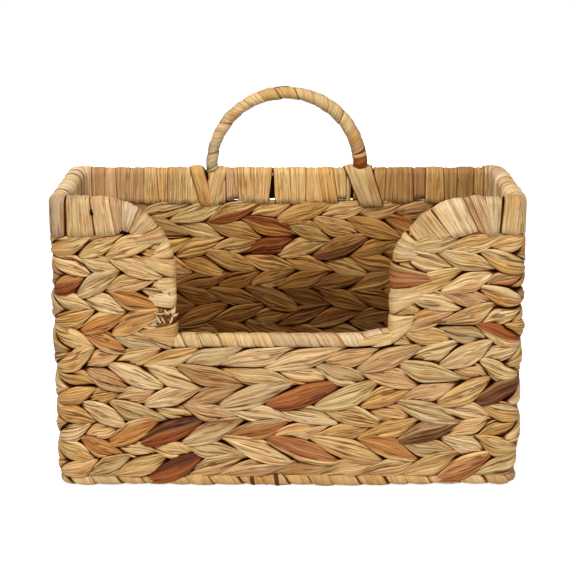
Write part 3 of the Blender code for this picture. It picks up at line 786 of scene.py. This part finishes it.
def leaf_material(name, creases=1.0, streaks=1.0):
    """Dried leaf with fibres, streaks, blotches and dark lines lengthwise, darkened and made less
    glossy by the shade painted into its leaf_shade attribute.
    """
    n = Nodes(name)
    tint = n.add("Attribute", attribute_name="leaf_tint").outputs["Color"]
    grain = n.add("Attribute", attribute_name="leaf_grain").outputs["Vector"]
    shade = n.add("Attribute", attribute_name="leaf_shade").outputs["Fac"]
    fibre = n.noise(grain, (50, 2000, 9), 3)
    streak = n.noise(grain, (12, 560, 9), 2)
    crease = n.noise(grain, (14, 340, 9), 2, 0.5)
    fine = n.noise(grain, (20, 620, 17), 1, 0.4)
    blotch = n.noise(grain, (45, 70, 9), 3)
    patch = n.noise(grain, (50, 140, 13), 2)

    def lines(value, narrow, wide):
        away = n.math("ABSOLUTE", n.math("SUBTRACT", value, 0.5))
        return n.math("SUBTRACT", 1.0, n.ramp(away, narrow, wide))

    def sheet(value, low, high, dark, pale):
        return n.mix(1.0, colour, n.mix(n.ramp(value, low, high), dark, pale), "MULTIPLY")

    dim = tuple(1 - (1 - part) * streaks for part in (0.77, 0.67, 0.52))
    groove = n.times(lines(crease, 0.010, 0.042), n.ramp(patch, 0.46, 0.58))
    groove = n.times(groove, creases)
    scratch = n.times(lines(fine, 0.01, 0.05), n.ramp(patch, 0.63, 0.45))
    colour = n.stain_and_shade(n.ramp(blotch, 0.52, 0.72, 0.7), tint, (0.88, 0.66, 0.40))
    colour = n.stain_and_shade(n.ramp(blotch, 0.48, 0.28), colour, (1.08, 1.12, 1.18))
    colour = sheet(streak, 0.35, 0.62, dim, (1.07, 1.07, 1.06))
    colour = sheet(fibre, 0.30, 0.70, (0.88, 0.84, 0.77), (1.06, 1.06, 1.05))
    colour = n.stain_and_shade(n.times(scratch, 0.82 * creases), colour, (0.46, 0.27, 0.11))
    colour = n.stain_and_shade(n.times(groove, 0.85), colour, (0.24, 0.105, 0.032))
    # Painted shade from leaf_shade: darker warm brown, near black where deepest; it also lowers the
    # sheen below.
    colour = n.stain_and_shade(n.ramp(shade, 0.10, 0.60), colour, (0.38, 0.17, 0.045))
    colour = n.mix(n.ramp(shade, 0.35, 0.90, 0.97), colour, (0.020, 0.0055, 0.0008))
    height = n.math("ADD", n.times(fibre, 0.35), n.times(streak, 0.9))
    height = n.math("SUBTRACT", n.math("SUBTRACT", height, groove), n.times(scratch, 0.4))
    bump = n.fill(n.add("Bump"), {"Strength": 0.7, "Distance": 0.0011, "Height": height})
    n.fill(n.shader, {
        "Base Color": colour, "Roughness": n.math("ADD", n.times(fibre, 0.16), 0.50),
        "Specular IOR Level": n.times(n.math("SUBTRACT", 1.0, shade, clamp=True), 0.16),
        "Normal": bump.outputs["Normal"]})
    return n.material


def wire_material():
    n = Nodes("drawn_wire")
    wear = n.noise(n.add("TexCoord").outputs["Object"], (160, 160, 160), 3)
    colour = n.mix(n.ramp(wear, 0.35, 0.7), (0.86, 0.84, 0.80), (0.60, 0.56, 0.50))
    rough = n.math("ADD", n.times(wear, 0.25), 0.18)
    n.fill(n.shader, {"Base Color": colour, "Roughness": rough, "Metallic": 0.7})
    return n.material


leaf = leaf_material("twined_leaf")
shaded_leaf = leaf_material("shaded_leaf")
wrap = leaf_material("wrap_leaf", creases=0.6, streaks=0.7)
wound = leaf_material("wound_leaf", creases=0.4, streaks=0.45)
wire = wire_material()


# Pieces

def build_walls():
    claims = overlap_claims()
    rows = [row_surface(number, claims) for number in range(1, row_count + 1)]
    shade_wall(rows)
    for number, surface in enumerate(rows, 1):
        node = f"weave_row_{number:02d}"
        nodes = [node] if number > full_rows else [f"{node}_outer", f"{node}_inner"]
        hand_in(surface, f"twined_row_{number:02d}", leaf, "twined_leaf", *nodes)


def build_base():
    """Twined rows along the basket, in the bottom of the wire frame."""
    surface = Surface()
    rows, total, middle_up = 7, 15, 7.3 * mm
    inner_y = line_y - half_wall + 1 * mm
    pitch = 2 * inner_y / rows
    knots = (np.arange(total) - 7) * 30.9 * mm
    for number in range(rows):
        rng = default_rng(300 + number)
        lobes = make_lobes(rng, total, 200 + number * 5.1, deep_mix, deep_mix)
        phase = (np.arange(total - 1)[:, None] + steps[::2]).ravel()
        along = np.interp(phase, np.arange(total), knots + rng.uniform(-2, 2, total) * mm)
        phase, along = cut_row(phase, along, 2 * mm - line_x, line_x - 2 * mm)
        middle = -inner_y + (number + 0.5) * pitch

        def place(out, up, along=along):
            return np.stack(np.broadcast_arrays(along[:, None], up, middle_up + out), -1)

        add_strands(surface, phase, along, place, middle, 1 if number % 2 else -1, lobes, pitch / 2,
                    half_depth=5.4 * mm, wall=False)
    hand_in(surface, "woven_base", shaded_leaf, "shaded_leaf", "base_weave_lower", "base_weave_upper")


def shoulder(side, node, seed, tone, strips, scraps):
    """The strips that fan round a front shoulder: (rim from, rim to, foot from, foot to, colour,
    lift), and the small pieces and gaps at their feet, all in mm; a piece with shade 1 is painted black
    as the shadow in a gap."""
    rng, surface = default_rng(seed), Surface()
    for start, stop, foot_start, foot_stop, name, lift in strips:
        edge = rim_spot(side, np.linspace(start, stop, len(strip_u)) * mm)
        foot = np.array([foot_start, foot_stop]) * (side, 1) * mm
        drape(surface, rng, edge, foot, foot, tinted(rng, name) * tone, lift=(lift - 0.8) * mm, folds=9)
    # Packing under the strips, brown and painted dark with shade, seen in the gaps between them.
    under = rim_spot(side, np.linspace(100, 178, len(strip_u)) * mm)
    foot = under.copy()
    foot[:, 1] = np.minimum(weave_top + 1 * mm, under[:, 1] - 1.5 * mm)
    foot[:, 0] += side * np.where(under[:, 1] < weave_top + 12 * mm, 8 * mm, 0)
    drape(surface, rng, under, foot, foot, palette["brown"], lift=-2.2 * mm, crown=0, folds=0, drop=0,
          shade=0.85)
    for x, z, to_x, to_z, width, name, out, shade in scraps:
        scrap(surface, rng, (x, z), (to_x, to_z), width, tinted(rng, name), out, shade)
    hand_in_strips(surface, node)


def build_rim():
    shoulder(-1, "rim_wrap_left_shoulder", 41, (0.90, 0.935, 1.05), [
        (187, 176.2, (187, 214), (176.6, 214.5), "ash", 1.5),
        (176.2, 156.6, (176.4, 213.0), (153.4, 215.5), "straw", 0.9),
        (157.4, 141.0, (153.8, 215.0), (136.5, 214.6), "straw", 0.4),
        (141.8, 131.2, (137.5, 214.6), (131.5, 219.0), "rosy", 0.0),
        (132.2, 118.0, (132.0, 219.2), (126.5, 217.6), "cream", 0.7),
        (119.0, 102.6, (127.0, 217.8), (122.0, 212.6), "straw", 0.2),
        (103.4, 95.8, (122.5, 212.8), (121.0, 206.8), "straw", 0.9),
    ], [(-138, 211.8, -123, 209.8, 5.5, "maroon", -0.2, 0.0),
        # A piece painted black with shade, as the shadow in a small gap between strips.
        (-156.1, 236.5, -154.9, 230.5, 2.4, "brown", 2.1, 1.0)])
    shoulder(1, "rim_wrap_right_shoulder", 42, (0.86, 0.875, 0.93), [
        (186, 170.9, (186, 216.0), (168.8, 218.2), "straw", 1.7),
        (170.3, 155.4, (168.6, 216.6), (159.0, 213.6), "cream", 0.1),
        (156.0, 143.6, (164.8, 214.6), (158.2, 213.2), "pink", 0.9),
        (144.4, 138.6, (160.0, 213.4), (151.4, 218.8), "straw", 0.0),
        (139.4, 113.0, (152.0, 218.6), (130.0, 212.4), "cream", 0.9),
        (113.8, 95.0, (131.6, 215.0), (106.0, 204.5), "straw", 0.2),
    ], [(137, 214.0, 158, 216.6, 6.0, "rust", 0.2, 0.1),
        (124, 231, 128, 224, 2.2, "rust", -0.5, 0.0)])

    rng = default_rng(43)
    ends = {"rim_wrap_right": (184 * mm, perimeter / 2 - 172 * mm, (1.12, 1.2, 1.35)),
            "rim_wrap_left": (perimeter / 2 + 172 * mm, perimeter - 185 * mm, (1.04, 1.11, 1.25))}
    for node, (start, stop, tone) in ends.items():
        surface = Surface()
        places = random_places(rng, start, stop)
        names = pick_names(rng, len(places), wrap_mix)
        straight_strips(surface, rng, places, names, bulge=1.3 * mm, tone=tone)
        rim_core(surface, start, stop, 60)
        hand_in_strips(surface, node)

    # The runs along the back: seams, colours, tone, raised strips and leaning seams
    back = {
        "rim_wrap_back_right": (
            [172, 161, 148.5, 134.5, 120.5, 108, 95.5, 84.5, 75.7],
            "straw tan tan straw rosy tan rosy straw", (0.86, 0.79, 0.65), (4,), {}),
        "rim_wrap_back_mid_right": (
            [49.7, 38.5, 27, 15, 2, -11.6], "straw gold straw straw straw", (1.19, 1.19, 1.1), (0,),
            {1: -5, 2: -5, 5: -1.5}),
        "rim_wrap_back_mid_left": (
            [-14.2, -31.2, -43.5, -53.1], "straw straw pink", (1.12, 1.1, 1.05), (2,), {0: 3.5}),
        "rim_wrap_back_left": (
            [-79.1, -90, -104, -115, -125, -138, -149, -160, -172],
            "straw straw gold straw rosy rosy pink rosy", (1.1, 1.1, 1.12), (), {}),
    }
    for node, (seams, names, tone, raised, leans) in back.items():
        surface = Surface()
        places = back_along(np.array(seams) * mm)
        straight_strips(surface, rng, places, names.split(), 1.8 * mm, raised, leans, tone=tone)
        rim_core(surface, places[0], places[-1], 12)
        if node == "rim_wrap_back_mid_right":
            rim_core(surface, places[-1], places[-1] + 6 * mm, 3, sunk=4 * mm)
        hand_in_strips(surface, node)


def build_bindings():
    """Two strips that cross over each foot of the loop and hold it to the rim."""
    bindings = {
        "loop_binding_left": (51, (), [((-52.5, -67), (-60, -76), "straw", 0.5),
                                       ((-73.5, -86), (-63.5, -77), "gold", 1.5)]),
        "loop_binding_right": (52, (1, 2), [((48.5, 73.5), (62.5, 83.5), "straw", 2.4)])}
    for node, (seed, raised, strips) in bindings.items():
        rng, surface = default_rng(seed), Surface()
        low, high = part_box(node)
        places = back_along([low.x, low.x * 0.7 + high.x * 0.3, low.x * 0.35 + high.x * 0.65, high.x])
        straight_strips(surface, rng, places, ["straw", "gold", "straw"], raised=raised)
        rim_core(surface, places[0], places[-1], 4)
        for rim, foot, name, lift in strips:
            edge = at_level(back_along(np.array(rim) * mm), rim_top)
            inner = at_level(back_along(np.array(foot) * mm), weave_top - 2.5 * mm)
            outer = 2 * edge - inner
            outer[:, 1] = weave_top
            drape(surface, rng, edge, outer, inner, tinted(rng, name), lift=(lift - 0.6) * mm, folds=6)
        hand_in_strips(surface, node)


def build_cut_edges():
    """Where the rows above the sill turn round the cut-out's upright edges: (top and bottom level on
    the edge, top and bottom of the foot, colours across, lift), and the frayed ends, all in mm."""
    rng, surface = default_rng(61), Surface()
    low = sill_low.z / mm + 1
    folds = {
        -1: [(212, 193.5, (106, 204), (114, 193), "straw cream", 0.5),
             (195.5, 178.5, (115, 197.5), (119, 191), "cream straw", 1.2),
             (181.5, 153, (104, 180.5), (112.5, 156), "cream cream straw", 0.8),
             (155, 140.5, (101, 152), (104, 143), "maroon brown", 0.4),
             (143, low, (117, 136.5), (119, 131), "straw gold", 2.0)],
        1: [(217, 191.5, (107, 206), (113, 194), "straw grey straw", 0.9),
            (192, 169.5, (120.5, 179.5), (121.5, 174),
             "rust salmon rust pink rust salmon maroon straw rust", 1.4),
            (171, 146.5, (117.5, 171), (110, 160.5), "straw cream straw", 0.6),
            (148.5, low, (101, 146.5), (104, 138), "straw cream", 1.2)],
    }
    for side, parts in folds.items():
        for top, bottom, foot_top, foot_bottom, names, lift in parts:
            levels = np.linspace(bottom, top, len(strip_u)) * mm
            edge = at_level(side * edge_distance(side, levels), levels)
            foot = np.array([foot_bottom, foot_top]) * (side, 1) * mm
            colours = np.array([tinted(rng, name) for name in names.split()])
            across, knots = np.linspace(0, len(colours) - 1, len(strip_u)), np.arange(len(colours))
            tint = np.stack([np.interp(across, knots, part) for part in colours.T], -1)
            drape(surface, rng, edge, foot, foot, tint, lift=lift * mm, folds=11, tuck=2.6 * mm,
                  rounding=6 * mm)
    for number in range(16):
        x, z, turn = -rng.uniform(90, 104), rng.uniform(142, 153), math.radians(rng.uniform(-75, 75))
        reach = rng.uniform(2.5, 5)
        far_x, far_z = reach * math.cos(turn), reach * math.sin(turn)
        name = ["cream", "maroon", "straw", "cream", "brown", "straw"][number % 6]
        scrap(surface, rng, (x - far_x, z - far_z), (x + far_x, z + far_z), rng.uniform(1.3, 2.6),
              tinted(rng, name), rng.uniform(2.2, 3.6))
    for first, last, width, name, out in (
            ((52, 123.5), (92, 131), 8, "straw", 0.5), ((66, 122), (90, 126.5), 6, "cream", 0.2),
            ((112, 140.5), (130, 139.5), 2.5, "brown", 1.0),
            ((-131, 196), (-101, 180), 7.5, "sage", 1.6)):
        scrap(surface, rng, first, last, width, tinted(rng, name), out)
    hand_in(surface, "cut_edge_folds", wrap, "wrap_leaf")


def build_sill():
    rng, surface = default_rng(71), Surface()
    middle = (sill_high.z + sill_low.z) / 2

    def place(run, out, up):
        rise = 3 * mm * smooth_step((run - 54 * mm) / (26 * mm))
        return wall_point(run, middle + up + rise, out)

    turns = wound_turns(rng, sill_low.x - 5 * mm, sill_high.x + 7 * mm, 11, 20,
                        dict(straw=30, cream=50, grey=8, pink=10), (1.02, 1.07, 1.17))
    wind(surface, rng, place, turns, (5.9 * mm, 5.4 * mm))
    hand_in(surface, "sill_strips", wound, "wrap_leaf", "sill_wrap")


def build_bottom():
    rng, surface = default_rng(72), Surface()

    def place(run, out, up):
        return wall_point(run, np.maximum(5.8 * mm + up, 0.05 * mm), out)

    turns = wound_turns(rng, perimeter / 2, perimeter * 1.5 - 3 * mm, 14, 26,
                        dict(straw=44, gold=20, cream=14, pink=8), (0.87, 0.83, 0.74))
    turns += last_turns(rng, perimeter, (31, 5, "maroon"), (20, 4, "orange"), (11, 5, "maroon"))
    wind(surface, rng, place, turns, (6.0 * mm, 4.2 * mm), crown=1.2 * mm, wave=0.9 * mm, seam=0.9)
    hand_in(surface, "bottom_strips", wound, "wrap_leaf", "bottom_edge_wrap")


def build_loop():
    """The wound half ring and its two feet, which dive in behind the back rim."""
    rng, surface = default_rng(81), Surface()
    low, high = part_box("loop_wire")
    wire_half, leg = 2 * mm, 8 * mm
    radius = (high.x - low.x) / 2 - wire_half
    centre_x, centre_y = (high.x + low.x) / 2, (high.y + low.y) / 2
    centre_z = high.z - wire_half - radius
    length = math.pi * radius
    end = leg * 2 + length
    tone = (1.02, 1.07, 1.16)

    def place(run, out, up):
        angle = np.clip((run - leg) / radius, 0, math.pi)
        below = np.maximum(np.maximum(leg - run, run - leg - length), 0)
        reach = radius - up
        x = centre_x - reach * np.cos(angle)
        z = centre_z + reach * np.sin(angle) - below
        dive = 6 * mm * smooth_step((rim_top + np.where(x > 0, 5, 1) * mm - z) / (10 * mm))
        return np.stack([x, centre_y + out + dive, z], -1)

    def half(run):
        thickness = np.interp(run, [0, length * 0.5, length * 0.85, end], [4.8, 5.1, 5.6, 6.5]) * mm
        return thickness, thickness

    turns = wound_turns(rng, -3 * mm, end - 38 * mm, 12, 19, dict(straw=40, gold=30, cream=14), tone,
                        drift=0.6)
    turns = [(start, width, tinted(rng, "grey") * tone if start < 34 * mm else tint)
             for start, width, tint in turns]
    turns += last_turns(rng, end, (46, 15, "pink"), (32, 14, "rosy"), (19, 3, "straw"),
                        (16.5, 17, "rust"))
    wind(surface, rng, place, turns, half, crown=0.3 * mm, power=2.0, start_angle=90)
    hand_in(surface, "loop_strips", wound, "wrap_leaf", "loop_strip", "loop_padding")


build_walls()
build_base()
build_rim()
build_bindings()
build_cut_edges()
build_sill()
build_bottom()
build_loop()
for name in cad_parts:
    if "wire" in name:
        for slot in bpy.data.objects[name].material_slots:
            slot.material = wire


# Stage

def choose_by_ray(tree, other, seen, output):
    """What the camera sees gets one shader, and the light that falls on the basket another."""
    path = tree.nodes.new("ShaderNodeLightPath")
    choice = tree.nodes.new("ShaderNodeMixShader")
    sources = path.outputs["Is Camera Ray"], other.outputs[0], seen.outputs[0]
    for source, target in zip(sources, choice.inputs):
        tree.links.new(source, target)
    tree.links.new(choice.outputs[0], tree.nodes[output].inputs["Surface"])


def make_floor(size=30.0):
    mesh = bpy.data.meshes.new("floor")
    corners = [(-size, -size, 0), (size, -size, 0), (size, size, 0), (-size, size, 0)]
    mesh.from_pydata(corners, [], [(0, 1, 2, 3)])
    n = Nodes("floor_white")
    n.fill(n.shader, {"Base Color": (0.8, 0.8, 0.8), "Roughness": 0.9})
    glow = n.fill(n.add("Emission"), {"Strength": 0.85})
    matt = n.fill(n.add("BsdfDiffuse"), {"Color": (0.6, 0.6, 0.6)})
    seen = n.fill(n.add("AddShader"), {0: glow.outputs[0], 1: matt.outputs[0]})
    choose_by_ray(n.tree, n.shader, seen, "Material Output")
    mesh.materials.append(n.material)
    add_object("floor", mesh)


def make_world():
    world = bpy.data.worlds.new("studio")
    bpy.context.scene.world = world
    world.use_nodes = True
    soft = world.node_tree.nodes["Background"]
    white = world.node_tree.nodes.new("ShaderNodeBackground")
    soft.inputs["Color"].default_value = white.inputs["Color"].default_value = (1, 1, 1, 1)
    soft.inputs["Strength"].default_value = 0.27
    choose_by_ray(world.node_tree, soft, white, "World Output")


def add_lamp(name, place, aim, size, power):
    lamp = bpy.data.lights.new(name, "AREA")
    lamp.shape = "RECTANGLE"
    lamp.size, lamp.size_y = size
    lamp.energy = power
    item = add_object(name, lamp)
    item.location = place
    item.rotation_euler = (Vector(aim) - Vector(place)).to_track_quat("-Z", "Y").to_euler()


def make_camera():
    camera = bpy.data.cameras.new("camera")
    camera.sensor_width = 36
    camera.lens = 96.1
    item = add_object("camera", camera)
    item.location = (0, -1.260, 0.494)
    item.rotation_euler = (math.radians(90 - 15.16), 0, 0)
    bpy.context.scene.camera = item


make_floor()
make_world()
add_lamp("key", (-0.35, -0.95, 1.55), (0, 0, 0.15), (0.6, 0.6), 28)
add_lamp("fill", (0.9, -1.0, 0.7), (0, 0, 0.15), (1.0, 1.0), 7)
add_lamp("back", (-0.5, 1.4, 0.8), (0, 0, 0.12), (1.2, 1.0), 13)
make_camera()
bpy.context.scene.view_settings.view_transform = "Standard"
